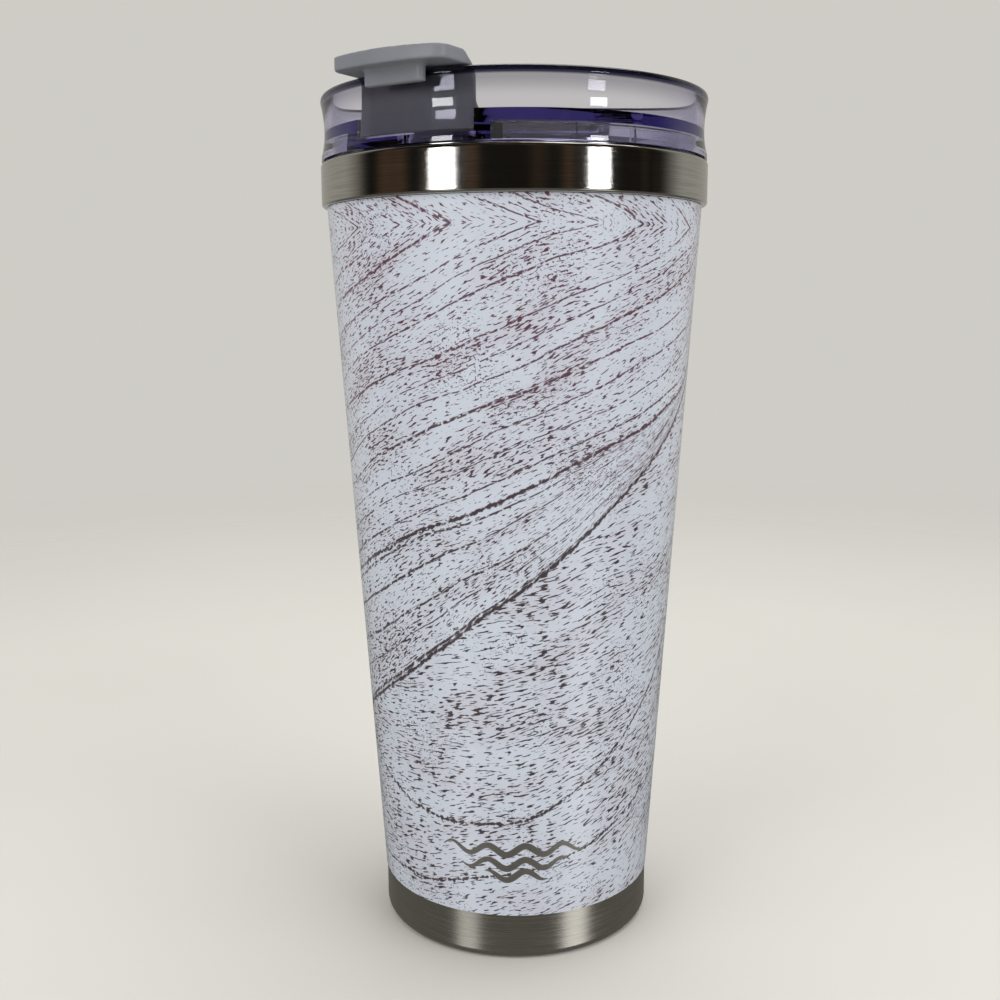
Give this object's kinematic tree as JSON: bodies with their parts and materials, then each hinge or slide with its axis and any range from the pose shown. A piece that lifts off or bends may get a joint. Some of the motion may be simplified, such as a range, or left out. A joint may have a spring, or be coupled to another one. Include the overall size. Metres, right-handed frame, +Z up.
{
  "type": "insulated travel mug",
  "caption": "Tapered double-wall steel travel mug with a printed wrap, a clear violet push-in lid and a grey flip cap over the drink hole.",
  "frame": {"origin": "on the mug's axis, at the level of the foot ring that stands on the table", "axes": "+Z up along the mug's axis; the flip cap's lip and the drink hole point to -Y; the flip cap's hinge lies along X"},
  "size_m": [0.0882, 0.0946, 0.1969],
  "materials": {
    "brushed_steel": "fine brushing round the axis, satin",
    "polished_steel": "polished, with soft reflections",
    "wood_print": "semi-gloss film with a pale wood-grain print in mauve-brown",
    "violet_clear_plastic": "clear moulded plastic, violet-blue tint, glossy",
    "cool_grey_plastic": "opaque moulded plastic, soft gloss",
    "silicone": "translucent white silicone, satin",
    "glass_solder": "dark fused bead",
    "getter_metal": "sintered metal powder, matte"
  },
  "bodies": {
    "mug": {"outer_shell": "brushed_steel", "printed_wrap": "wood_print", "inner_liner": "polished_steel", "outer_bottom": "brushed_steel", "base_cover": "brushed_steel", "vacuum_seal": "glass_solder", "getter": "getter_metal"},
    "lid": {"lid_body": "violet_clear_plastic", "plug_ring": "violet_clear_plastic", "lid_gasket": "silicone", "hinge_pin": "polished_steel"},
    "cap": {"flip_cap": "cool_grey_plastic", "cap_stopper": "silicone", "vent_seal": "silicone"}
  },
  "joints": [
    {"name": "lid_lift", "type": "slide", "parent": "mug", "child": "lid", "axis": [0, 0, 1], "range_m": [0, 0.06]},
    {"name": "cap_hinge", "type": "hinge", "parent": "lid", "child": "cap", "pos_m": [0, 0.008, 0.184], "axis": [-1, 0, 0], "range_deg": [0, 115]}
  ]
}
